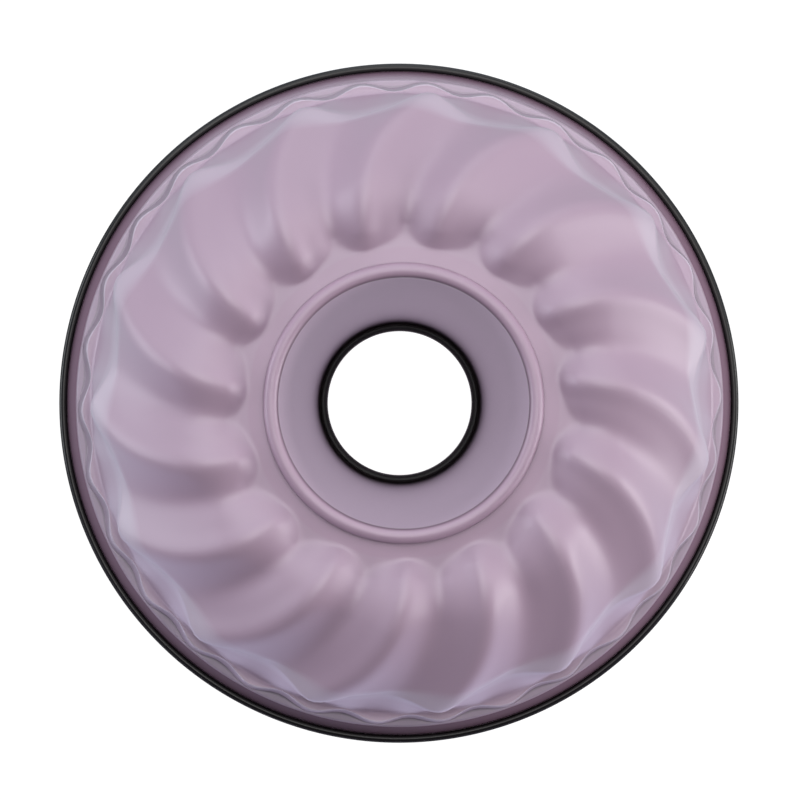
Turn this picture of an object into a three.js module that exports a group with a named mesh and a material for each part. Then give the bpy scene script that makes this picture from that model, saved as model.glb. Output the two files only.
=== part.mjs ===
// Fluted ring cake pan of drawn sheet steel, standing on its rolled rim with the crown up.
// Millimetres, +Z up. The origin is on the floor, on the axis of the pan.
import * as THREE from 'three';
import { mergeVertices } from 'three/addons/utils/BufferGeometryUtils.js';

// Sheet and fits
const SHEET = 0.5; // thickness of the steel sheet
const SEAM_GAP = 0.3; // between sheets that are rolled over each other
const WIRE_GAP = 0.2; // between the rim wire and the roll round it

// Rim and collar
const RIM_DIAMETER = 240; // across the outside of the rolled rim
const RIM_ROLL = 3; // diameter of the roll at the rim
const COLLAR_HEIGHT = 19; // floor to ledge
const COLLAR_INSET = 8; // outside of the rim to the outer edge of the ledge

// Fluted wall
const LEDGE_WIDTH = 0.25; // edge of the ledge to the peaks of the flutes
const WALL_HEIGHT = 38; // ledge to step
const WALL_LEAN = 5.45; // how far the wall leans in over its height
const FLUTES_PER_RIB = 2;
const FLUTE_DEPTH_FOOT = 1.8; // peak to hollow at the ledge
const FLUTE_DEPTH_TOP = 2.8; // peak to hollow at the step

// Shoulder and crown
const STEP_WIDTH = 0.6; // hollows of the flutes to the inner edge of the step
const SHOULDER_HEIGHT = 17.3; // step to the shoulder's corner
const SHOULDER_LEAN = 5.2; // how far the upper wall leans in over that height
const SHOULDER_ROUND = 4; // length of the shoulder's rounding along each side
const DOME_RUN = 11.8; // shoulder's corner in to the corner that the domed slope bends round
const DOME_RISE = 12.8; // shoulder's corner up to that corner
const CROWN_DIAMETER = 130; // of the crown's corner
const CROWN_RISE = 10; // slope's corner up to the crown's corner
const CROWN_ROUND = 9; // length of the crown's rounding along each side
const ROUND_SHARE = 0.6; // most of a side that one rounding may take

// Swirled ribs
const RIB_COUNT = 15;
const RIB_ANGLE = 13.4; // degrees from +X to the first rib at the shoulder
const RIB_SWIRL = 17.1; // degrees that a rib turns from the shoulder to its foot
const SWIRL_START = 0.7; // how early the turn starts, 1 is even
const SWIRL_EASE = 1.5; // how gently it ends, 1 is even
const RIB_REACH_WALL = 2.7; // how far a crest stands out from the mean line, at the top of the upper wall
const RIB_REACH_EDGE = 3.1; // at the shoulder's corner
const RIB_DROP_EDGE = 1; // how far that corner is lower at a crest
const RIB_REACH_SLOPE = 1.7; // at the outer end of the domed slope
const RIB_REACH_DOME = 2.1; // at its inner end
const RIB_REACH_CROWN = 1.9; // at the inner end of the crown's rounding
const RIB_REACH_FOOT = 0.55; // at the feet of the ribs
const RIB_POINT = 0.18; // how much sharper than a plain wave a rib is at the shoulder
const RIB_LEAN_OUTER = -0.1; // how far a rib leans to one side at the shoulder
const RIB_LEAN_INNER = 0.15; // and at its foot
const RIB_FLANK = 0.05; // how much flatter than a plain wave its flanks are
const RIB_BLEND = 1.2; // height of the fillet where the ribs run into the plain ring

// Plain ring and seam
const RING_DROP = 4.4; // crown's corner to the inner edge of the plain ring
const RING_FALL = 1.1; // inner edge of the ring to its outer edge
const RING_WIDTH = 5.4; // seam bead to the feet of the ribs
const SEAM_DIAMETER = 85.4; // middle of the seam bead
const SEAM_BEAD = 4.9; // width of the seam bead
const SEAM_RISE = 0.8; // middle of the bead above the plain ring

// Centre tube
const TUBE_BORE = 50.6; // clear diameter through the rolled end
const TUBE_ROLL = 3.5; // diameter of the roll at the narrow end
const TUBE_LIFT = 3; // floor to the rolled end
const SWAGE = 0.3; // how far the tube is swaged out under the ring

// Facets
const ROLL_SIDES = 8;
const STEPS_PER_RIB = 8;
const TUBE_STEPS = 60;
const WIRE_STEPS = 60;
const WIRE_SIDES = 6;

const { degToRad, lerp, clamp } = THREE.MathUtils;
const FACET = (2 * Math.PI) / ROLL_SIDES;
const FLAT = Math.cos(FACET / 2); // middle of a facet against its corners

// A place on the sheet's section: radius, height, and the turn about the axis that it has there.
function place(radius, height, turn = 0) {
  return new THREE.Vector3(radius, height, turn);
}

function onCircle(centre, radius, angle, turn = 0) {
  return place(centre.x + radius * Math.cos(angle), centre.y + radius * Math.sin(angle), turn);
}

function towards(from, to, distance) {
  return from.clone().lerp(to, distance / from.distanceTo(to));
}

// Angle on a circle at which a line from a point outside touches it, on the side given by turn.
function touchAngle(centre, radius, point, turn) {
  const away = point.clone().sub(centre);
  return Math.atan2(away.y, away.x) + turn * Math.acos(radius / Math.hypot(away.x, away.y));
}

// The side of a line that the lacquered face looks to: to the right of its direction.
function rightOf(direction) {
  return place(direction.y, -direction.x).normalize();
}

// The back of the sheet: one thickness behind the lacquered face, with mitred corners.
function backOf(face) {
  const sides = face.slice(1).map((point, index) => rightOf(point.clone().sub(face[index])));
  return face.map((point, index) => {
    const before = sides[Math.max(index - 1, 0)];
    const after = sides[Math.min(index, sides.length - 1)];
    const mitre = before.clone().add(after).divideScalar(1 + before.dot(after));
    return point.clone().addScaledVector(mitre, -SHEET);
  });
}

// Sheet solid round the axis, from its lacquered face at each angle: a lathe skin whose vertices
// are set to the section at their own angle.
function turnedSheet(faceAt, steps, start = 0) {
  const outlineAt = (angle) => [...faceAt(angle), ...backOf(faceAt(angle)).reverse()];
  const first = outlineAt(0);
  const skin = new THREE.LatheGeometry([...first, first[0]], steps);
  const position = skin.attributes.position;
  const rowLength = first.length + 1;
  for (let step = 0; step <= steps; step += 1) {
    const angle = ((step % steps) / steps) * 2 * Math.PI;
    const outline = outlineAt(angle);
    for (let index = 0; index < rowLength; index += 1) {
      const { x: radius, y: height, z: turn } = outline[index % first.length];
      const bearing = start + angle + turn;
      const vertex = step * rowLength + index;
      position.setXYZ(vertex, radius * Math.cos(bearing), radius * Math.sin(bearing), height);
    }
  }
  matchDiagonals(skin.index, first.length);
  skin.deleteAttribute('normal');
  skin.deleteAttribute('uv');
  const solid = mergeVertices(skin);
  solid.computeVertexNormals();
  return solid;
}

// The back is cut into triangles along the same diagonals as the face, so that the sheet stays even.
function matchDiagonals(index, outlineLength) {
  const perQuad = 6;
  for (let quad = 0; quad * perQuad < index.count; quad += 1) {
    const onBack = quad % outlineLength >= outlineLength / 2;
    if (onBack) {
      const [a, b, d, c] = index.array.slice(quad * perQuad, quad * perQuad + 4);
      index.array.set([a, b, c, a, c, d], quad * perQuad);
    }
  }
}

// Rolls: the lacquered face is on the inside, and the lowest facet of the rim lies flat on the floor.
const insideRoll = (roll) => roll / 2 - SHEET / FLAT;
const rimFlat = (RIM_ROLL / 2) * FLAT;
const rimRollCentre = place(RIM_DIAMETER / 2 - rimFlat, rimFlat);
const tubeRollCentre = place((TUBE_BORE + TUBE_ROLL) / 2, TUBE_LIFT + TUBE_ROLL / 2);

// Collar, ledge, fluted wall and step
const ledgeEdge = place(RIM_DIAMETER / 2 - COLLAR_INSET, COLLAR_HEIGHT);
const footRadius = ledgeEdge.x - LEDGE_WIDTH - FLUTE_DEPTH_FOOT / 2;
const wallTop = place(footRadius - WALL_LEAN, COLLAR_HEIGHT + WALL_HEIGHT);
const stepInner = place(wallTop.x - FLUTE_DEPTH_TOP / 2 - STEP_WIDTH, wallTop.y);

// Corners of the mean line through the ribs, and the plain ring inside them
const shoulderCorner = place(stepInner.x - SHOULDER_LEAN, stepInner.y + SHOULDER_HEIGHT);
const domeCorner = place(shoulderCorner.x - DOME_RUN, shoulderCorner.y + DOME_RISE);
const crownCorner = place(CROWN_DIAMETER / 2, domeCorner.y + CROWN_RISE);
const ringHeight = crownCorner.y - RING_DROP;
const seamCentre = place(SEAM_DIAMETER / 2, ringHeight + SEAM_RISE);
const beadRadius = SEAM_BEAD / 2;
const ribFootRadius = seamCentre.x + beadRadius + RING_WIDTH;
const ribFoot = place(ribFootRadius, ringHeight - RING_FALL - RIB_REACH_FOOT);

// Seam: the shell's lip is curled inside the bead of the tube.
const lipRadius = beadRadius - (2 * SHEET + SEAM_GAP) / FLAT;
const lipFoot = place(seamCentre.x - lipRadius, ringHeight);

// The plain ring falls a little from the seam to the feet of the ribs.
function ringAt(radius) {
  return ringHeight - (RING_FALL * (radius - lipFoot.x)) / (ribFoot.x - lipFoot.x);
}

// The higher of two heights, with a fillet between them.
function filletedTop(one, other) {
  const overlap = Math.max(RIB_BLEND - Math.abs(one - other), 0) / RIB_BLEND;
  return Math.max(one, other) + (overlap * overlap * RIB_BLEND) / 4;
}

// Reach of a crest along a curve, square to it.
function squareReach(curve, from, to) {
  return (share) => rightOf(curve.getTangent(share)).multiplyScalar(lerp(from, to, share));
}

// Stretches of the mean line from the step to the feet of the ribs, with the reach of a crest along each.
function ribStretches() {
  const mostOf = (from, to) => from.distanceTo(to) * ROUND_SHARE;
  const wallRound = Math.min(SHOULDER_ROUND, mostOf(shoulderCorner, stepInner));
  const crownRound = Math.min(CROWN_ROUND, mostOf(crownCorner, domeCorner), mostOf(crownCorner, ribFoot));
  const wallEnd = towards(shoulderCorner, stepInner, wallRound);
  const domeTop = towards(crownCorner, domeCorner, crownRound);
  const crownEnd = towards(crownCorner, ribFoot, crownRound);
  const dome = new THREE.QuadraticBezierCurve(shoulderCorner, domeCorner, domeTop);
  const domeStart = Math.min(SHOULDER_ROUND / dome.getLength(), ROUND_SHARE);
  const slopeStart = dome.getPoint(domeStart);
  const slopeCorner = domeCorner.clone().lerp(domeTop, domeStart);
  const wall = new THREE.LineCurve(stepInner, wallEnd);
  const shoulder = new THREE.QuadraticBezierCurve(wallEnd, shoulderCorner, slopeStart);
  const slope = new THREE.QuadraticBezierCurve(slopeStart, slopeCorner, domeTop);
  const crown = new THREE.QuadraticBezierCurve(domeTop, crownCorner, crownEnd);
  const foot = new THREE.LineCurve(crownEnd, ribFoot);
  const wallReach = place(RIB_REACH_WALL, 0);
  const edgeReach = place(RIB_REACH_EDGE, -RIB_DROP_EDGE);
  const slopeReach = squareReach(slope, RIB_REACH_SLOPE, RIB_REACH_DOME);
  const shoulderReach = new THREE.QuadraticBezierCurve(wallReach, edgeReach, slopeReach(0));
  return [
    { curve: wall, parts: 1, reachAt: (share) => wallReach.clone().multiplyScalar(share) },
    { curve: shoulder, parts: 2, reachAt: (share) => shoulderReach.getPoint(share) },
    { curve: slope, parts: 2, reachAt: slopeReach },
    { curve: crown, parts: 3, reachAt: squareReach(crown, RIB_REACH_DOME, RIB_REACH_CROWN) },
    { curve: foot, parts: 2, reachAt: squareReach(foot, RIB_REACH_CROWN, RIB_REACH_FOOT) },
  ];
}

// Share of its turn that a rib has made at a radius of the mean line.
function swirlShare(radius) {
  const way = (shoulderCorner.x - radius) / (shoulderCorner.x - ribFoot.x);
  return 1 - (1 - clamp(way, 0, 1) ** SWIRL_START) ** SWIRL_EASE;
}

// Stations along the mean line: place, reach of a crest and share of the swirl.
function ribStations() {
  const stations = [];
  for (const { curve, parts, reachAt } of ribStretches()) {
    for (let part = stations.length ? 1 : 0; part <= parts; part += 1) {
      const point = curve.getPoint(part / parts);
      stations.push({ point, reach: reachAt(part / parts), share: swirlShare(point.x) });
    }
  }
  return stations;
}

const stations = ribStations();
const swirl = degToRad(RIB_SWIRL);

// How far the face stands out at a phase round one rib: 1 is about a crest, -1 a hollow.
function ribWave(share, phase) {
  const sharper = RIB_POINT * (1 - share) * Math.cos(2 * phase);
  const leaning = lerp(RIB_LEAN_OUTER, RIB_LEAN_INNER, share) * Math.sin(2 * phase);
  return Math.cos(phase) + sharper + leaning + RIB_FLANK * Math.cos(3 * phase);
}

// Point of the ribbed face at a station, for a phase round one rib.
function ribPoint({ point, reach, share }, phase) {
  const wave = ribWave(share, phase);
  const radius = point.x + reach.x * wave;
  const height = point.y + reach.y * wave;
  const meetsRing = radius < crownCorner.x;
  return place(radius, meetsRing ? filletedTop(height, ringAt(radius)) : height, share * swirl);
}

// Lacquered face of the shell at an angle from the first rib, from the free edge of the rim's roll
// to the free edge of the lip.
function shellFace(angle) {
  const phase = RIB_COUNT * angle;
  const flute = Math.cos(FLUTES_PER_RIB * phase) / 2;
  const rollRadius = insideRoll(RIM_ROLL);
  const face = [];
  for (let facet = ROLL_SIDES / 2 - 1; facet > -ROLL_SIDES / 2 + 1; facet -= 1) {
    face.push(onCircle(rimRollCentre, rollRadius, (facet - 0.5) * FACET));
  }
  face.push(onCircle(rimRollCentre, rollRadius, touchAngle(rimRollCentre, rollRadius, ledgeEdge, 1)));
  face.push(ledgeEdge);
  face.push(place(footRadius + flute * FLUTE_DEPTH_FOOT, ledgeEdge.y));
  face.push(place(wallTop.x + flute * FLUTE_DEPTH_TOP, wallTop.y));
  face.push(...stations.map((station) => ribPoint(station, phase)));
  face.push(place(lipFoot.x, lipFoot.y, swirl));
  for (let facet = ROLL_SIDES / 2; facet >= ROLL_SIDES / 4; facet -= 1) {
    face.push(onCircle(seamCentre, lipRadius, facet * FACET, swirl));
  }
  return face;
}

// Lacquered face of the tube, from the free edge of the seam bead down to the free edge of the end roll.
function tubeFace() {
  const rollRadius = insideRoll(TUBE_ROLL);
  const beadEdge = seamCentre.x + beadRadius;
  const neck = place(seamCentre.x - beadRadius, ringHeight - SHEET);
  const swage = place(neck.x + SWAGE, neck.y - 2 * SHEET);
  const touch = touchAngle(tubeRollCentre, rollRadius, swage, -1);
  const face = [place(beadEdge, ringAt(beadEdge) + SEAM_GAP)];
  for (let facet = 0; facet <= ROLL_SIDES / 2; facet += 1) {
    face.push(onCircle(seamCentre, beadRadius, facet * FACET));
  }
  face.push(neck, swage);
  for (let facet = 0; facet <= (ROLL_SIDES * 3) / 4; facet += 1) {
    face.push(onCircle(tubeRollCentre, rollRadius, touch - facet * FACET));
  }
  return face;
}

function piece(name, geometry, color, roughness, metalness) {
  const mesh = new THREE.Mesh(geometry, new THREE.MeshStandardMaterial({ color, roughness, metalness }));
  mesh.name = name;
  return mesh;
}

const shell = turnedSheet(shellFace, RIB_COUNT * STEPS_PER_RIB, degToRad(RIB_ANGLE));
const tube = turnedSheet(tubeFace, TUBE_STEPS);
const wireRadius = insideRoll(RIM_ROLL) * FLAT - WIRE_GAP;
const wire = new THREE.TorusGeometry(rimRollCentre.x, wireRadius, WIRE_SIDES, WIRE_STEPS);
wire.translate(0, 0, rimRollCentre.y);

const pan = new THREE.Group();
pan.name = 'ring_cake_pan';
pan.add(piece('mould_shell', shell, 0xb59fb4, 0.42, 0.15));
pan.add(piece('centre_tube', tube, 0xa393a8, 0.42, 0.15));
pan.add(piece('rim_wire', wire, 0x9a9a98, 0.4, 0.9));

export default pan;
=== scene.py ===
"""Fluted ring cake pan, mauve lacquer outside and black non-stick inside, on its rim with the crown up."""
import math

import bpy
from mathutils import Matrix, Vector


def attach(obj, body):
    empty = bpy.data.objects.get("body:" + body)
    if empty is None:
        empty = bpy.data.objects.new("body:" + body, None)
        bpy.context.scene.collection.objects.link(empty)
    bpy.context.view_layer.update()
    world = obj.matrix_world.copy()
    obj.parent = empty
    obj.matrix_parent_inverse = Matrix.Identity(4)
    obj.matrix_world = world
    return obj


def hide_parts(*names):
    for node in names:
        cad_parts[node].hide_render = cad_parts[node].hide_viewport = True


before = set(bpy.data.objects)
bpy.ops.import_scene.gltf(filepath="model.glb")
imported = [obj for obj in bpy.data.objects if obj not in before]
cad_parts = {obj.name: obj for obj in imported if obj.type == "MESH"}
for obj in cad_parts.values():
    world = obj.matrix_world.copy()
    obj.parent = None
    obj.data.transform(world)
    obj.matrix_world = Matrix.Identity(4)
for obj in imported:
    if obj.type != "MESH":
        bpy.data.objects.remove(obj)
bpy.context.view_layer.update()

# Millimetre in metres, and the distance in metres under which two points are one
MM = 0.001
WELD = 1e-6

# Sheet, rolls and seam in millimetres, and the angles of the two rolls
SHEET = 0.5
RIM_RADIUS = 120.0
RIM_ROLL = 3.0
RIM_ROLL_START = math.radians(144)
SEAM_GAP = 0.3
SEAM_RADIUS = 42.7
SEAM_BEAD = 4.9
SEAM_RISE = 0.8
BEAD_DROP = 0.35
NECK_ROUND = 0.35
SWAGE = 0.3
TUBE_BORE = 50.6
TUBE_ROLL = 3.5
TUBE_ROLL_TURN = math.radians(272)
TUBE_LIFT = 3.0

# Collar, fluted wall and step, in millimetres
LEDGE_EDGE = (112.0, 19.1)
WALL_FOOT = (110.5, 19.0)
WALL_TOP = (105.4, 57.0)
STEP_INNER = (103.4, 57.0)
FLUTE_FOOT = 2.5
FLUTE_TOP = 2.8
LEDGE_ROUND = 0.4
FOOT_ROUND = 0.3
EDGE_ROUND = 0.3
STEP_ROUND = 2.0

# Ribbed crown and plain ring in millimetres. The shoulder's rounding takes the first parts of the dome
SHOULDER = (98.2, 74.3)
SHOULDER_ROUND = 3.2
DOME = (86.4, 87.1)
DOME_TOP = (73.15, 93.29)
DOME_PARTS = 24
SHOULDER_PARTS = 3
CROWN = (65.0, 97.1)
CROWN_INNER = (56.7, 93.62)
RING_HEIGHT = 92.7
RING_FALL = 1.1
RING_WIDTH = 5.4
RING_PARTS = 9
RIB_BLEND = 0.7

# How far a rib's crest stands out from the mean section, in millimetres
RIB_WALL = (2.7, 0.0)
RIB_EDGE = (3.7, -1.0)
RIB_SLOPE = 2.1
RIB_DOME = 2.7
RIB_CROWN = 2.1
RIB_FOOT = 0.55

# Shape of a rib across: sharper crest at the shoulder, lean from one side to the other, flat flanks
RIB_POINT = 0.18
RIB_LEAN_OUTER = -0.1
RIB_LEAN_INNER = 0.15
RIB_FLANK = 0.05

# Pattern round the axis
RIBS = 15
FLUTES_PER_RIB = 2
FIRST_RIB = math.radians(13.4)
SWIRL = math.radians(17.1)
SWIRL_START = 0.7
SWIRL_EASE = 1.5
COLUMNS_PER_RIB = 20
TUBE_COLUMNS = 144

# What follows from these sizes: centre of the seam, lip inside it, inner end of the ribs, slope of the ring
SEAM = (SEAM_RADIUS, RING_HEIGHT + SEAM_RISE)
LIP_RADIUS = SEAM_BEAD / 2 - 2 * SHEET - SEAM_GAP
LIP_FOOT = SEAM_RADIUS - LIP_RADIUS
RIB_END = (SEAM_RADIUS + SEAM_BEAD / 2 + RING_WIDTH, RING_HEIGHT - RING_FALL - RIB_FOOT)
RING_SLOPE = RING_FALL / (RIB_END[0] - LIP_FOOT)

# Other colours of the coat: lacquer in the bore, black (the real black coat, and also painted shade), a paler
# tone that is painted sheen, and plum (painted shade on the collar). Each station carries a share of each
COATS = ("bore", "deep", "pale", "plum")

# Painted sheen: a paler colour on the ledge, the wall's top edge, the step, the wall and the shoulder's edge,
# where these would catch light; and the radius and reach of the shoulder's edge in millimetres
PAINTED_SHEEN_LEDGE = 0.45
PAINTED_SHEEN_TOP = 0.8
PAINTED_SHEEN_STEP = 0.15
PAINTED_SHEEN_WALL = 0.05
PAINTED_SHEEN_PEAK = 0.68
PAINTED_SHEEN_EDGE = 97.4
PAINTED_SHEEN_REACH = 2.7

# Black mixed into the lacquer as painted shade: fading in towards the rim's roll on the collar, in the wall's
# foot, on the fluted wall and over the bead's edges. In the bore it fades in over the given millimetres towards
# the black roll, partly as the black coat running onto the lacquer and partly as painted shade
COLLAR_PAINTED_SHADE = 0.75
COLLAR_SHADE_FADE = 4
FOOT_PAINTED_SHADE = 0.3
WALL_PAINTED_SHADE = 0.2
BEAD_PAINTED_SHADE = 0.65
BEAD_SHADE_FADE = 1.5
BEAD_PARTS = 22
BEAD_SHADE_OUTER = 3
BEAD_SHADE_INNER = 7
BORE_FADE = 16.0

# Plum tone of the collar, bead and ring. On the collar the full darker plum is painted shade; the bead and ring
# take a smaller share
COLLAR_PLUM_SHADE = 1.0
BEAD_PLUM = 0.2
RING_PLUM = 0.25

# How much less rough the coat is on black, on the collar and in the bore, and how much rougher the bore's black
SMOOTH_DEEP = 0.22
SMOOTH_COLLAR = 0.2
SMOOTH_BORE = 0.07
DULL_ROLL = 0.2

# Power of the plum share that singles out the collar, and scale of the slow drift of a coat's tone
COLLAR_ONLY = 3.0
DRIFT_SCALE = 14.0

# Wire: colours between which it is mottled, scale of the mottle and roughness
WIRE_DARK = (0.34, 0.34, 0.33, 1)
WIRE_PALE = (0.56, 0.55, 0.54, 1)
WIRE_SCALE = 2400.0
WIRE_ROUGHNESS = (0.3, 0.5)

# Camera: place, aim and reach in metres, lens and sensor in millimetres
CAMERA_PLACE = (-0.015, 0.0, 1.0)
CAMERA_AIM = (0.0002, 0.0011, 0.0)
CAMERA_REACH = 20.0
CAMERA_LENS = 127.2
CAMERA_SENSOR = 36.0

# Colours of the studio, level of its sky and half the floor's width in metres
WHITE = (1.0, 1.0, 1.0, 1)
SKY_COLOUR = (0.82, 0.9, 1.0, 1)
NEAR_COLOUR = (0.8, 0.75, 1.0, 1)
# Mauve tint of the floor inside the hole as the gloss sees it: painted bounce light from the tube's lacquer
HOLE_BOUNCE_COLOUR = (0.97, 0.81, 1.0, 1)
FLOOR_COLOUR = (0.12, 0.12, 0.12, 1)
FLOOR_REACH = 4.0
SKY_LEVEL = 0.04

# Ramps of what the lacquer mirrors: where each one starts and ends, and its value there
NEAR_TINT = (0.2, -0.9, 0.0, 1.0)
# FLOOR_SHADE is a painted shadow: the floor's glow that the lacquer mirrors drops beside the rim, and FLOOR_FAR
# lifts it again on the far side
FLOOR_SHADE = (0.126, 0.144, 0.03, 1.0)
FLOOR_FAR = (0.4, 1.0, 0.0, 0.85)
FLOOR_LEVEL = (0.9, -0.9, 0.9, 1.85)
SKY_CEILING = (0.5, 0.9, 1.0, 0.12)
SKY_NEAR = (-0.1, -0.8, 1.0, 0.15)

# Soft boxes: azimuth and elevation in degrees, width and height in metres, level at the pan, colour
BOX_DISTANCE = 1.3
BOX_AIM = 0.08
WARM = (1.0, 0.97, 0.93)
COOL = (0.95, 0.98, 1.0)
SOFT_BOXES = (
    ("right_box", 350, 12, 1.0, 0.5, 0.43, WARM),
    ("left_box", 172, 12, 0.9, 0.5, 0.275, COOL),
    ("far_right_box", 35, 50, 1.1, 0.9, 0.2, WARM),
    ("far_left_box", 108, 50, 1.1, 0.9, 0.29, COOL),
    ("far_low_box", 80, 14, 1.0, 0.5, 0.11, (1.0, 0.95, 0.97)),
    ("top_box", 90, 84, 0.9, 0.9, 0.375, (1.0, 0.98, 0.97)),
)


def clamped(value):
    return min(max(value, 0), 1)


def lerp(a, b, share):
    return a + (b - a) * share


def between(start, end, share):
    return (lerp(start[0], end[0], share), lerp(start[1], end[1], share))


def moved(start, end, distance):
    return between(start, end, distance / math.dist(start, end))


def scaled(vector, factor):
    return (vector[0] * factor, vector[1] * factor)


def in_space(pair):
    """Place or direction in a section, from millimetres to metres."""
    return (pair[0] * MM, 0.0, pair[1] * MM)


def on_circle(centre, radius, angle):
    return (centre[0] + radius * math.cos(angle), centre[1] + radius * math.sin(angle))


def touch_angle(centre, radius, point, side):
    """Angle on a circle at which a line from an outside point touches it."""
    away = (point[0] - centre[0], point[1] - centre[1])
    return math.atan2(away[1], away[0]) + side * math.acos(radius / math.hypot(*away))


def line(start, end, parts):
    """Points from start to end."""
    return [between(start, end, k / parts) for k in range(parts + 1)]


def inner_line(start, end, parts):
    """Points between start and end."""
    return line(start, end, parts)[1:-1]


def arc(centre, radius, first, last, parts):
    """Points of a circle from one angle to another."""
    return [on_circle(centre, radius, lerp(first, last, k / parts)) for k in range(parts + 1)]


def bend(start, corner, end, parts):
    """Points of a rounding that leaves one side of a corner and meets the other."""
    points = []
    for k in range(parts + 1):
        share = k / parts
        points.append(between(between(start, corner, share), between(corner, end, share), share))
    return points


def rounded(before, corner, after, radius, parts):
    """Rounding of a corner with a given radius."""
    one = math.atan2(before[1] - corner[1], before[0] - corner[0])
    two = math.atan2(after[1] - corner[1], after[0] - corner[0])
    half = abs((one - two + math.pi) % (2 * math.pi) - math.pi) / 2
    reach = radius / math.tan(half)
    return bend(moved(corner, before, reach), corner, moved(corner, after, reach), parts)


def right_sides(points):
    """Side of a line of points that the lacquered face looks to."""
    sides = []
    for k in range(len(points)):
        ahead = points[min(k + 1, len(points) - 1)]
        behind = points[max(k - 1, 0)]
        side = Vector((ahead[1] - behind[1], behind[0] - ahead[0])).normalized()
        sides.append((side.x, side.y))
    return sides


def station(point, crest=(0.0, 0.0), **values):
    """One place of a sheet's section with the values that the fluting tree and the finishes read there."""
    plain = {"point": point, "crest": crest, "flute": 0.0, "turn": 0.0, "on_ring": 0.0}
    return plain | dict.fromkeys(COATS, 0.0) | values


def rim_stations():
    """Rolled rim, collar, ledge, fluted wall and step."""
    centre = (RIM_RADIUS - RIM_ROLL / 2, RIM_ROLL / 2)
    inside = RIM_ROLL / 2 - SHEET
    touch = touch_angle(centre, inside, LEDGE_EDGE, 1) - 2 * math.pi
    roll = arc(centre, inside, RIM_ROLL_START, touch, parts=24)
    ledge = rounded(roll[-1], LEDGE_EDGE, WALL_FOOT, LEDGE_ROUND, parts=4)
    foot = rounded(LEDGE_EDGE, WALL_FOOT, WALL_TOP, FOOT_ROUND, parts=4)
    edge = rounded(WALL_FOOT, WALL_TOP, STEP_INNER, EDGE_ROUND, parts=5)
    step = rounded(WALL_TOP, STEP_INNER, SHOULDER, STEP_ROUND, parts=8)
    stations = [station(point, deep=1.0) for point in roll]
    # Painted shade: black fades in on the collar towards the roll, and the collar takes the darker plum as
    # painted shade
    collar = inner_line(roll[-1], ledge[0], parts=10)
    for k, point in enumerate(collar):
        deep = COLLAR_PAINTED_SHADE * (1 - k / len(collar)) ** COLLAR_SHADE_FADE
        stations.append(station(point, deep=deep, plum=COLLAR_PLUM_SHADE))
    # Painted sheen all over the ledge, and painted shade in the wall's foot
    for point in ledge + inner_line(ledge[-1], foot[0], parts=3) + foot:
        share = clamped((LEDGE_EDGE[0] - point[0]) / (LEDGE_EDGE[0] - WALL_FOOT[0]))
        deep = FOOT_PAINTED_SHADE if point in foot else 0.0
        stations.append(station(point, flute=FLUTE_FOOT * share, pale=PAINTED_SHEEN_LEDGE, deep=deep))
    # Painted shade on the fluted wall
    for point in inner_line(foot[-1], edge[0], parts=8):
        share = (point[1] - WALL_FOOT[1]) / (WALL_TOP[1] - WALL_FOOT[1])
        stations.append(station(point, flute=lerp(FLUTE_FOOT, FLUTE_TOP, share), deep=WALL_PAINTED_SHADE))
    # Painted highlight on the wall's top edge, painted sheen on the step's rounding and a little on the rest
    for point in edge + inner_line(edge[-1], step[0], parts=4) + step:
        share = clamped((point[0] - STEP_INNER[0]) / (WALL_TOP[0] - STEP_INNER[0]))
        pale = PAINTED_SHEEN_TOP if point in edge else PAINTED_SHEEN_STEP if point in step[1:-1] else PAINTED_SHEEN_WALL
        stations.append(station(point, flute=FLUTE_TOP * share, pale=pale))
    return stations, step[-1]


def crown_stations(start):
    """Ribbed upper wall, shoulder, domed slope and crown down to the plain ring."""
    wall_end = moved(SHOULDER, start, SHOULDER_ROUND)
    dome = bend(SHOULDER, DOME, DOME_TOP, DOME_PARTS)
    slope = dome[SHOULDER_PARTS:]
    slope_crest = scaled(right_sides(dome)[SHOULDER_PARTS], RIB_SLOPE)
    crown = bend(DOME_TOP, CROWN, CROWN_INNER, parts=16)
    foot = line(CROWN_INNER, RIB_END, parts=8)
    wall = line(start, wall_end, parts=10)[:-1]
    shoulder = bend(wall_end, SHOULDER, slope[0], parts=12)[:-1]
    runs = [(point, scaled(RIB_WALL, k / len(wall))) for k, point in enumerate(wall)]
    runs += zip(shoulder, bend(RIB_WALL, RIB_EDGE, slope_crest, parts=12))
    for points, first, last in (
        (slope, RIB_SLOPE, RIB_DOME),
        (crown, RIB_DOME, RIB_CROWN),
        (foot, RIB_CROWN, RIB_FOOT),
    ):
        heights = [lerp(first, last, k / (len(points) - 1)) for k in range(len(points))]
        crests = map(scaled, right_sides(points), heights)
        runs += list(zip(points, crests))[0 if points is slope else 1:]
    stations = []
    for point, crest in runs[1:]:
        way = clamped((SHOULDER[0] - point[0]) / (SHOULDER[0] - RIB_END[0]))
        turn = 1 - (1 - way ** SWIRL_START) ** SWIRL_EASE
        # Painted sheen peaks at the shoulder's edge and stays a little on the wall outside it
        off_edge = abs(point[0] - PAINTED_SHEEN_EDGE) / PAINTED_SHEEN_REACH
        pale = max(PAINTED_SHEEN_PEAK * max(1 - off_edge ** 2, 0), PAINTED_SHEEN_WALL if point[0] > PAINTED_SHEEN_EDGE else 0)
        stations.append(station(point, crest, turn=turn, on_ring=float(point[0] < CROWN[0]), pale=pale))
    return stations


def shell_stations():
    """Lacquered face of the shell, from the rim's free edge to the lip inside the seam."""
    stations, start = rim_stations()
    stations += crown_stations(start)
    crest = stations[-1]["crest"]
    for k in range(1, RING_PARTS):
        radius = lerp(RIB_END[0], LIP_FOOT, k / RING_PARTS)
        sunk = RIB_END[1] - (RIB_END[0] - radius) * abs(crest[0] / crest[1])
        stations.append(station((radius, sunk), crest, turn=1.0, on_ring=1.0, plum=RING_PLUM))
    stations.append(station((LIP_FOOT, RING_HEIGHT), turn=1.0))
    lip = arc(SEAM, LIP_RADIUS, math.pi, math.pi / 2, parts=5)
    return stations + [station(point, turn=1.0) for point in lip]


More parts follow.
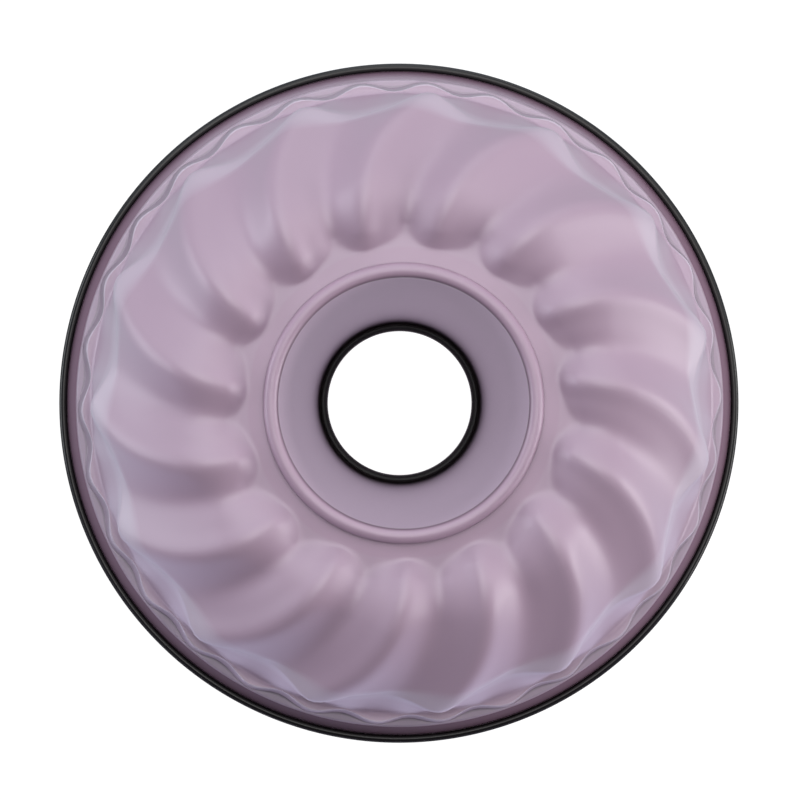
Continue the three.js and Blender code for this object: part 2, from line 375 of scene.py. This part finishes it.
def tube_stations():
    """Lacquered face of the tube, from the seam bead's free edge down the bore to the rolled end."""
    bead = SEAM_BEAD / 2
    leg = (SEAM_RADIUS + bead, RING_HEIGHT + SEAM_GAP - BEAD_DROP)
    neck = (SEAM_RADIUS - bead, RING_HEIGHT - SHEET)
    swage = (neck[0] + SWAGE, neck[1] - 2 * SHEET)
    end = (TUBE_BORE / 2 + TUBE_ROLL / 2, TUBE_LIFT + TUBE_ROLL / 2)
    inside = TUBE_ROLL / 2 - SHEET
    touch = touch_angle(end, inside, swage, -1)
    roll = arc(end, inside, touch, touch - TUBE_ROLL_TURN, parts=26)
    curl = [leg] + arc(SEAM, bead, 0, math.pi, BEAD_PARTS)
    curl += rounded(curl[-1], neck, swage, NECK_ROUND, parts=3)
    throat = rounded(neck, swage, roll[0], NECK_ROUND, parts=3)
    stations = []
    # Painted shade over the bead's outer and inner edges, where it meets the ring and the throat; the bead also
    # takes a share of plum
    for k, point in enumerate(curl):
        from_edge = min((k - 1) / BEAD_SHADE_OUTER, (BEAD_PARTS + 1 - k) / BEAD_SHADE_INNER)
        deep = min(max(1 - from_edge, 0) ** BEAD_SHADE_FADE, BEAD_PAINTED_SHADE)
        stations.append(station(point, deep=deep, plum=BEAD_PLUM))
    stations += [station(point, bore=1.0) for point in throat]
    # Towards the black roll the bore darkens, partly as the black coat running onto the lacquer and partly as
    # painted shade
    for point in inner_line(throat[-1], roll[0], parts=20):
        near_end = max(1 - math.dist(point, roll[0]) / BORE_FADE, 0)
        stations.append(station(point, bore=1.0, deep=near_end ** 2))
    return stations + [station(point, bore=1.0, deep=1.0) for point in roll]


def section_mesh(name, stations):
    """A line of points in metres that carries the values of each station."""
    mesh = bpy.data.meshes.new(name)
    places = [in_space(s["point"]) for s in stations]
    mesh.from_pydata(places, [(k, k + 1) for k in range(len(places) - 1)], [])
    crest = mesh.attributes.new("crest", "FLOAT_VECTOR", "POINT")
    crest.data.foreach_set("vector", [v for s in stations for v in in_space(s["crest"])])
    for key in ("flute", "turn", "on_ring") + COATS:
        unit = MM if key == "flute" else 1.0
        values = mesh.attributes.new(key, "FLOAT", "POINT")
        values.data.foreach_set("value", [s[key] * unit for s in stations])
    return mesh


def new_object(name, data):
    """Object with the given data, linked into the scene."""
    made = bpy.data.objects.new(name, data)
    bpy.context.scene.collection.objects.link(made)
    return made


def add_sockets(tree, in_out, sockets):
    """Sockets of a tree's interface: name, kind and, if it has one, default value."""
    for name, kind, *value in sockets:
        socket = tree.interface.new_socket(name=name, in_out=in_out, socket_type="NodeSocket" + kind)
        if value:
            socket.default_value = value[0]


def add_node(tree, kind, inputs=None, **settings):
    """New node with its settings, and its inputs linked or set."""
    node = tree.nodes.new(kind)
    for name, value in settings.items():
        setattr(node, name, value)
    for key, value in (inputs or {}).items():
        if isinstance(value, bpy.types.NodeSocket):
            tree.links.new(value, node.inputs[key])
        else:
            node.inputs[key].default_value = value
    return node


def maths(tree, operation, *values):
    """Output of a Math node."""
    return add_node(tree, "ShaderNodeMath", dict(enumerate(values)), operation=operation).outputs[0]


def mixed_value(tree, share, one, other):
    """Output of a Mix node between two values."""
    return add_node(tree, "ShaderNodeMix", {0: share, 2: one, 3: other}, data_type="FLOAT").outputs[0]


def mixed_colour(tree, share, one, other):
    """Output of a Mix node between two colours."""
    return add_node(tree, "ShaderNodeMix", {0: share, 6: one, 7: other}, data_type="RGBA").outputs[2]


def parts_of(tree, vector):
    """Outputs of a Separate XYZ node."""
    return add_node(tree, "ShaderNodeSeparateXYZ", {"Vector": vector}).outputs


def noise(tree, scale, detail):
    """Output of a Noise node that stays in place on the piece."""
    place = add_node(tree, "ShaderNodeTexCoord").outputs["Object"]
    return add_node(tree, "ShaderNodeTexNoise", {"Vector": place, "Scale": scale, "Detail": detail}).outputs[0]


def ramp(tree, value, start, end, low, high, smooth=False):
    """Output of a Map Range node that goes from low to high as the value goes from start to end."""
    return add_node(tree, "ShaderNodeMapRange", {
        "Value": value, "From Min": start, "From Max": end, "To Min": low, "To Max": high,
    }, interpolation_type="SMOOTHSTEP" if smooth else "LINEAR").outputs[0]


def fluting_tree():
    """Turns a section into a sheet round the axis, with flutes in its wall and swirled ribs on its crown."""
    tree = bpy.data.node_groups.new("fluted_sheet", "GeometryNodeTree")
    tree.is_modifier = True
    add_sockets(tree, "INPUT", (
        ("Section", "Geometry"),
        ("Columns", "Int", RIBS * COLUMNS_PER_RIB),
        ("Ribs", "Int", RIBS),
        ("Flutes per Rib", "Int", FLUTES_PER_RIB),
        ("First Rib", "Float", FIRST_RIB),
        ("Swirl", "Float", SWIRL),
        ("Rib Point", "Float", RIB_POINT),
        ("Rib Lean Outer", "Float", RIB_LEAN_OUTER),
        ("Rib Lean Inner", "Float", RIB_LEAN_INNER),
        ("Rib Flank", "Float", RIB_FLANK),
        ("Rib Blend", "Float", RIB_BLEND * MM),
        ("Ring Height", "Float", RING_HEIGHT * MM),
        ("Ring Radius", "Float", LIP_FOOT * MM),
        ("Ring Slope", "Float", RING_SLOPE),
        ("Sheet", "Float", SHEET * MM),
        ("Face Finish", "Material"),
        ("Back Finish", "Material"),
    ))
    add_sockets(tree, "OUTPUT", [("Sheet", "Geometry")])
    given = add_node(tree, "NodeGroupInput").outputs
    section = given["Section"]
    columns = given["Columns"]
    rows = add_node(tree, "GeometryNodeAttributeDomainSize", {"Geometry": section}).outputs["Point Count"]
    grid = add_node(tree, "GeometryNodeMeshGrid", {
        "Vertices X": maths(tree, "ADD", columns, 1.0),
        "Vertices Y": rows,
    })
    index = add_node(tree, "GeometryNodeInputIndex").outputs[0]
    row = maths(tree, "MODULO", index, rows)
    column = maths(tree, "FLOOR", maths(tree, "DIVIDE", maths(tree, "ADD", index, 0.5), rows))

    def sampled(value, data_type):
        """Value of the section at the grid's row."""
        return add_node(tree, "GeometryNodeSampleIndex", {
            "Geometry": section, "Value": value, "Index": row,
        }, data_type=data_type, domain="POINT").outputs["Value"]

    def named(name, data_type):
        read = add_node(tree, "GeometryNodeInputNamedAttribute", {"Name": name}, data_type=data_type)
        return read.outputs["Attribute"]

    def carried(name, data_type="FLOAT"):
        return sampled(named(name, data_type), data_type)

    def stored(geometry, name, value, data_type, domain):
        return add_node(tree, "GeometryNodeStoreNamedAttribute", {
            "Geometry": geometry, "Name": name, "Value": value,
        }, data_type=data_type, domain=domain).outputs[0]

    def welded(geometry):
        return add_node(tree, "GeometryNodeMergeByDistance", {
            "Geometry": geometry, "Distance": WELD,
        }).outputs[0]

    mean = parts_of(tree, sampled(add_node(tree, "GeometryNodeInputPosition").outputs[0], "FLOAT_VECTOR"))
    crest = parts_of(tree, carried("crest", "FLOAT_VECTOR"))
    turn = carried("turn")
    angle = maths(tree, "MULTIPLY", maths(tree, "DIVIDE", column, columns), 2 * math.pi)
    phase = maths(tree, "MULTIPLY", angle, given["Ribs"])

    # Ribs stand out along each station's crest, flutes along the radius
    sharp = maths(tree, "MULTIPLY", given["Rib Point"], maths(tree, "SUBTRACT", 1.0, turn))
    lean = mixed_value(tree, turn, given["Rib Lean Outer"], given["Rib Lean Inner"])
    double = maths(tree, "MULTIPLY", phase, 2.0)
    triple = maths(tree, "MULTIPLY", phase, 3.0)
    flank = maths(tree, "MULTIPLY", maths(tree, "COSINE", triple), given["Rib Flank"])
    wave = maths(tree, "ADD", maths(tree, "COSINE", phase), flank)
    wave = maths(tree, "MULTIPLY_ADD", maths(tree, "COSINE", double), sharp, wave)
    wave = maths(tree, "MULTIPLY_ADD", maths(tree, "SINE", double), lean, wave)
    ripple = maths(tree, "COSINE", maths(tree, "MULTIPLY", phase, given["Flutes per Rib"]))
    flute = maths(tree, "MULTIPLY", maths(tree, "MULTIPLY", carried("flute"), 0.5), ripple)
    radius = maths(tree, "ADD", maths(tree, "MULTIPLY_ADD", crest["X"], wave, mean["X"]), flute)
    height = maths(tree, "MULTIPLY_ADD", crest["Z"], wave, mean["Z"])

    # The feet of the ribs run into the plain ring through a fillet
    out = maths(tree, "SUBTRACT", radius, given["Ring Radius"])
    fall = maths(tree, "MULTIPLY", out, given["Ring Slope"])
    ring = maths(tree, "SUBTRACT", given["Ring Height"], fall)
    joined = maths(tree, "SMOOTH_MAX", height, ring, given["Rib Blend"])

    bearing = maths(tree, "ADD", given["First Rib"], maths(tree, "MULTIPLY_ADD", turn, given["Swirl"], angle))
    place = add_node(tree, "ShaderNodeCombineXYZ", {
        "X": maths(tree, "MULTIPLY", radius, maths(tree, "COSINE", bearing)),
        "Y": maths(tree, "MULTIPLY", radius, maths(tree, "SINE", bearing)),
        "Z": mixed_value(tree, carried("on_ring"), height, joined),
    }).outputs[0]
    flat = stored(grid.outputs["Mesh"], "sheet_uv", grid.outputs["UV Map"], "FLOAT2", "CORNER")
    for name in COATS:
        flat = stored(flat, name, carried(name), "FLOAT", "POINT")
    shaped = add_node(tree, "GeometryNodeSetPosition", {"Geometry": flat, "Position": place})
    face = welded(shaped.outputs[0])

    # The back of the sheet is one thickness behind its face
    behind = add_node(tree, "GeometryNodeExtrudeMesh", {
        "Mesh": face,
        "Offset": add_node(tree, "GeometryNodeInputNormal").outputs[0],
        "Offset Scale": maths(tree, "MULTIPLY", given["Sheet"], -1.0),
        "Individual": False,
    }, mode="FACES")
    turned = add_node(tree, "GeometryNodeFlipFaces", {"Mesh": behind.outputs["Mesh"]})
    back = stored(turned.outputs[0], "on_back", True, "BOOLEAN", "FACE")
    both = add_node(tree, "GeometryNodeJoinGeometry")
    tree.links.new(back, both.inputs[0])
    tree.links.new(face, both.inputs[0])
    smooth = add_node(tree, "GeometryNodeSetShadeSmooth", {"Geometry": welded(both.outputs[0])})
    real = add_node(tree, "GeometryNodeRealizeInstances", {"Geometry": smooth.outputs[0]})
    lacquered = add_node(tree, "GeometryNodeSetMaterial", {
        "Geometry": real.outputs[0],
        "Material": given["Face Finish"],
    })
    coated = add_node(tree, "GeometryNodeSetMaterial", {
        "Geometry": lacquered.outputs[0],
        "Selection": named("on_back", "BOOLEAN"),
        "Material": given["Back Finish"],
    })
    add_node(tree, "NodeGroupOutput", {"Sheet": coated.outputs[0]})
    return tree


def fluted_piece(name, stations, tree, sizes):
    """Plain mesh object that a tree makes from a section."""
    section = section_mesh(name + "_section", stations)
    source = new_object(name + "_section", section)
    modifier = source.modifiers.new("fluting", "NODES")
    modifier.node_group = tree
    for item in tree.interface.items_tree:
        if item.in_out == "INPUT" and item.name in sizes:
            modifier[item.identifier] = sizes[item.name]
    bpy.context.view_layer.update()
    graph = bpy.context.evaluated_depsgraph_get()
    shaped = source.evaluated_get(graph)
    mesh = bpy.data.meshes.new_from_object(shaped, preserve_all_data_layers=True, depsgraph=graph)
    mesh.name = name
    bpy.data.objects.remove(source)
    bpy.data.meshes.remove(section)
    return new_object(name, mesh)


def coat_grain_group():
    """Colours of a sprayed coat, with painted sheen and painted shade mixed in, and its fine unevenness: slow
    tone drift, small mottle and orange peel.
    """
    group = bpy.data.node_groups.new("coat_grain", "ShaderNodeTree")
    add_sockets(group, "INPUT", (
        ("Colour", "Color", (0.5, 0.5, 0.5, 1)),
        ("Darker Colour", "Color", (0.4, 0.4, 0.4, 1)),
        ("Pale", "Float", 0.0),
        ("Pale Colour", "Color", (0.6, 0.6, 0.6, 1)),
        ("Plum", "Float", 0.0),
        ("Plum Colour", "Color", (0.4, 0.2, 0.3, 1)),
        ("Bore", "Float", 0.0),
        ("Bore Colour", "Color", (0.4, 0.4, 0.4, 1)),
        ("Deep", "Float", 0.0),
        ("Deep Colour", "Color", (0.1, 0.1, 0.1, 1)),
        ("Drift", "Float", 0.2),
        ("Mottle", "Float", 0.1),
        ("Mottle Scale", "Float", 900.0),
        ("Peel Scale", "Float", 260.0),
        ("Roughness", "Float", 0.4),
        ("Roughness Spread", "Float", 0.05),
    ))
    add_sockets(group, "OUTPUT", (("Colour", "Color"), ("Roughness", "Float"), ("Height", "Float")))
    given = add_node(group, "NodeGroupInput").outputs
    slow = noise(group, DRIFT_SCALE, 2.0)
    fine = noise(group, given["Mottle Scale"], 1.0)
    peel = noise(group, given["Peel Scale"], 2.0)

    def swing(grain, reach):
        """Grain that goes as far to one side of nought as to the other."""
        return maths(group, "MULTIPLY", maths(group, "SUBTRACT", grain, 0.5), reach)

    unevenness = maths(group, "ADD", swing(slow, given["Drift"]), swing(fine, given["Mottle"]))
    level = maths(group, "ADD", unevenness, 0.5)
    level.node.use_clamp = True
    tone = mixed_colour(group, level, given["Darker Colour"], given["Colour"])
    # The pale share is painted sheen, the deep share is the black coat and painted shade, the plum share is
    # painted shade on the collar
    for coat in ("Pale", "Plum", "Bore", "Deep"):
        tone = mixed_colour(group, given[coat], tone, given[coat + " Colour"])

    # Black is smoother outside, like the collar, and duller in the bore
    on_black = maths(group, "MULTIPLY", given["Deep"], SMOOTH_DEEP)
    on_collar = maths(group, "MULTIPLY", maths(group, "POWER", given["Plum"], COLLAR_ONLY), SMOOTH_COLLAR)
    outside = maths(group, "MAXIMUM", on_black, on_collar)
    inside = maths(group, "MULTIPLY_ADD", given["Deep"], -DULL_ROLL, SMOOTH_BORE)
    change = maths(group, "SUBTRACT", inside, outside)
    smoother = maths(group, "MULTIPLY_ADD", given["Bore"], change, outside)
    rough = maths(group, "SUBTRACT", given["Roughness"], smoother)
    rough = maths(group, "ADD", rough, swing(fine, given["Roughness Spread"]))
    add_node(group, "NodeGroupOutput", {"Colour": tone, "Roughness": rough, "Height": peel})
    return group


def principled(name, shader):
    """New material, its tree, and its Principled shader with what is the same all over the surface."""
    material = bpy.data.materials.new(name)
    material.use_nodes = True
    tree = material.node_tree
    body = tree.nodes["Principled BSDF"]
    for key, value in shader.items():
        body.inputs[key].default_value = value
    return material, tree, body


def coat_material(name, group, values, bump, shader):
    """Principled finish whose colour, roughness and bump come from the coat grain."""
    material, tree, body = principled(name, shader)
    grain = add_node(tree, "ShaderNodeGroup", values, node_tree=group)
    for coat in COATS:
        held = add_node(tree, "ShaderNodeAttribute", attribute_name=coat)
        tree.links.new(held.outputs["Fac"], grain.inputs[coat.title()])
    relief = add_node(tree, "ShaderNodeBump", bump | {"Height": grain.outputs["Height"]})
    tree.links.new(grain.outputs["Colour"], body.inputs["Base Color"])
    tree.links.new(grain.outputs["Roughness"], body.inputs["Roughness"])
    tree.links.new(relief.outputs[0], body.inputs["Normal"])
    return material


def wire_material():
    """Drawn steel with a fine mottle."""
    material, tree, body = principled("drawn_steel", {"Metallic": 1.0})
    mottle = noise(tree, WIRE_SCALE, 2.0)
    tree.links.new(mixed_colour(tree, mottle, WIRE_DARK, WIRE_PALE), body.inputs["Base Color"])
    tree.links.new(ramp(tree, mottle, 0.0, 1.0, *WIRE_ROUGHNESS), body.inputs["Roughness"])
    return material


def ray_kinds(tree):
    """Masks of the rays that look at the background, also through glass, and of those that mirror it."""
    path = add_node(tree, "ShaderNodeLightPath").outputs
    looked_at = maths(tree, "MAXIMUM", path["Is Camera Ray"], path["Is Transmission Ray"])
    return looked_at, path["Is Glossy Ray"]


def sided_colour(tree, side):
    """Colour of the studio: that of the sky, and more violet towards the near side."""
    return mixed_colour(tree, ramp(tree, side, *NEAR_TINT, smooth=True), SKY_COLOUR, NEAR_COLOUR)


def lay_floor():
    """Pale floor, white to the camera, that keeps the pan's shadow, with a painted shadow beside the rim in the
    glow that the lacquer mirrors.
    """
    mesh = bpy.data.meshes.new("floor")
    corners = ((-1, -1), (1, -1), (1, 1), (-1, 1))
    mesh.from_pydata([(x * FLOOR_REACH, y * FLOOR_REACH, 0) for x, y in corners], [], [(0, 1, 2, 3)])
    floor = new_object("floor", mesh)
    material = bpy.data.materials.new("pale_floor")
    material.use_nodes = True
    tree = material.node_tree
    tree.nodes.clear()
    looked_at, glossy = ray_kinds(tree)
    place = add_node(tree, "ShaderNodeTexCoord").outputs["Object"]
    away = add_node(tree, "ShaderNodeVectorMath", {0: place}, operation="LENGTH").outputs["Value"]
    side = maths(tree, "DIVIDE", parts_of(tree, place)["Y"], away)
    # Painted shadow beside the rim, lifted on the far side, in the glow that only the gloss sees
    beside = ramp(tree, away, *FLOOR_SHADE, smooth=True)
    far = ramp(tree, side, *FLOOR_FAR, smooth=True)
    level = ramp(tree, side, *FLOOR_LEVEL, smooth=True)
    around = maths(tree, "MULTIPLY", maths(tree, "MAXIMUM", beside, far), level)
    in_hole = maths(tree, "LESS_THAN", away, TUBE_BORE / 2 * MM)
    mirrored = maths(tree, "MULTIPLY", glossy, maths(tree, "MAXIMUM", around, in_hole))
    # Inside the hole the mirrored floor takes the mauve tint as painted bounce light
    tint = mixed_colour(tree, in_hole, sided_colour(tree, side), HOLE_BOUNCE_COLOUR)
    glow = add_node(tree, "ShaderNodeEmission", {
        "Color": mixed_colour(tree, looked_at, tint, WHITE),
        "Strength": maths(tree, "MAXIMUM", looked_at, mirrored),
    })
    matt = add_node(tree, "ShaderNodeBsdfDiffuse", {"Color": FLOOR_COLOUR})
    both = add_node(tree, "ShaderNodeAddShader", {0: glow.outputs[0], 1: matt.outputs[0]})
    add_node(tree, "ShaderNodeOutputMaterial", {"Surface": both.outputs[0]})
    mesh.materials.append(material)


def light_studio():
    """Dim sky that is white where it is seen and darker in the gloss overhead and near, and soft boxes."""
    world = bpy.data.worlds.new("studio")
    bpy.context.scene.world = world
    world.use_nodes = True
    tree = world.node_tree
    tree.nodes.clear()
    looked_at, glossy = ray_kinds(tree)
    aloft = parts_of(tree, add_node(tree, "ShaderNodeTexCoord").outputs["Generated"])
    ceiling = ramp(tree, aloft["Z"], *SKY_CEILING)
    near = ramp(tree, aloft["Y"], *SKY_NEAR)
    bright = maths(tree, "MAXIMUM", looked_at, maths(tree, "MULTIPLY", ceiling, near))
    sky = add_node(tree, "ShaderNodeBackground", {
        "Color": mixed_colour(tree, looked_at, sided_colour(tree, aloft["Y"]), WHITE),
        "Strength": mixed_value(tree, maths(tree, "MAXIMUM", looked_at, glossy), SKY_LEVEL, bright),
    })
    add_node(tree, "ShaderNodeOutputWorld", {"Surface": sky.outputs[0]})
    for box in SOFT_BOXES:
        soft_box(*box)


def soft_box(name, azimuth, elevation, width, height, level, colour):
    """Area lamp that looks at the pan. At level 1 it makes a white surface that faces it white."""
    lamp = bpy.data.lights.new(name, "AREA")
    lamp.shape = "RECTANGLE"
    lamp.size = width
    lamp.size_y = height
    lamp.color = colour
    lamp.energy = level * (math.pi * BOX_DISTANCE) ** 2
    turn = math.radians(azimuth)
    rise = math.radians(elevation)
    away = BOX_DISTANCE * math.cos(rise)
    up = BOX_DISTANCE * math.sin(rise) + BOX_AIM
    holder = new_object(name, lamp)
    holder.location = (away * math.cos(turn), away * math.sin(turn), up)
    aim = Vector((0, 0, BOX_AIM)) - holder.location
    holder.rotation_euler = aim.to_track_quat("-Z", "Y").to_euler()
    holder.visible_camera = False


def set_camera():
    """Camera straight above, a little to the left of the pan's axis, as in the photograph."""
    camera = bpy.data.cameras.new("top_view")
    camera.sensor_width = CAMERA_SENSOR
    camera.lens = CAMERA_LENS
    camera.clip_end = CAMERA_REACH
    holder = new_object("top_view", camera)
    holder.location = CAMERA_PLACE
    aim = Vector(CAMERA_AIM) - holder.location
    holder.rotation_euler = (math.atan2(aim.y, -aim.z), -math.atan2(aim.x, -aim.z), 0.0)
    bpy.context.scene.camera = holder


bpy.context.scene.view_settings.view_transform = "Standard"
set_camera()
light_studio()
lay_floor()

coat_grain = coat_grain_group()
# Pale Colour is the painted sheen; Plum Colour and Deep Colour also serve as painted shade
mauve_lacquer = coat_material("mauve_lacquer", coat_grain, {
    "Colour": (0.487, 0.352, 0.467, 1),
    "Darker Colour": (0.457, 0.326, 0.435, 1),
    "Pale Colour": (0.62, 0.545, 0.66, 1),
    "Plum Colour": (0.42, 0.25, 0.37, 1),
    "Bore Colour": (0.465, 0.362, 0.475, 1),
    "Deep Colour": (0.014, 0.006, 0.008, 1),
    "Roughness": 0.44,
    "Roughness Spread": 0.05,
}, bump={"Strength": 0.03, "Distance": 0.0002}, shader={"IOR": 1.85, "Specular Tint": (0.94, 0.94, 1, 1)})
black_nonstick = coat_material("black_nonstick", coat_grain, {
    "Colour": (0.016, 0.0145, 0.015, 1),
    "Darker Colour": (0.009, 0.008, 0.0085, 1),
    "Pale Colour": (0.016, 0.0145, 0.015, 1),
    "Plum Colour": (0.014, 0.0125, 0.013, 1),
    "Bore Colour": (0.012, 0.011, 0.0115, 1),
    "Deep Colour": (0.012, 0.011, 0.0115, 1),
    "Drift": 0.3,
    "Mottle": 0.6,
    "Mottle Scale": 1600.0,
    "Peel Scale": 700.0,
    "Roughness": 0.4,
    "Roughness Spread": 0.12,
}, bump={"Strength": 0.08, "Distance": 0.0001}, shader={"Specular IOR Level": 0.35})

fluting = fluting_tree()
finishes = {"Face Finish": mauve_lacquer, "Back Finish": black_nonstick}
shell = fluted_piece("shell_sheet", shell_stations(), fluting, finishes)
tube = fluted_piece("tube_sheet", tube_stations(), fluting, finishes | {"Columns": TUBE_COLUMNS})
for piece, node, slot in ((shell, "mould_shell", "shell_lacquer"), (tube, "centre_tube", "tube_lacquer")):
    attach(piece, "root")
    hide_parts(node)

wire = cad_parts["rim_wire"]
wire.data.materials.clear()
wire.data.materials.append(wire_material())
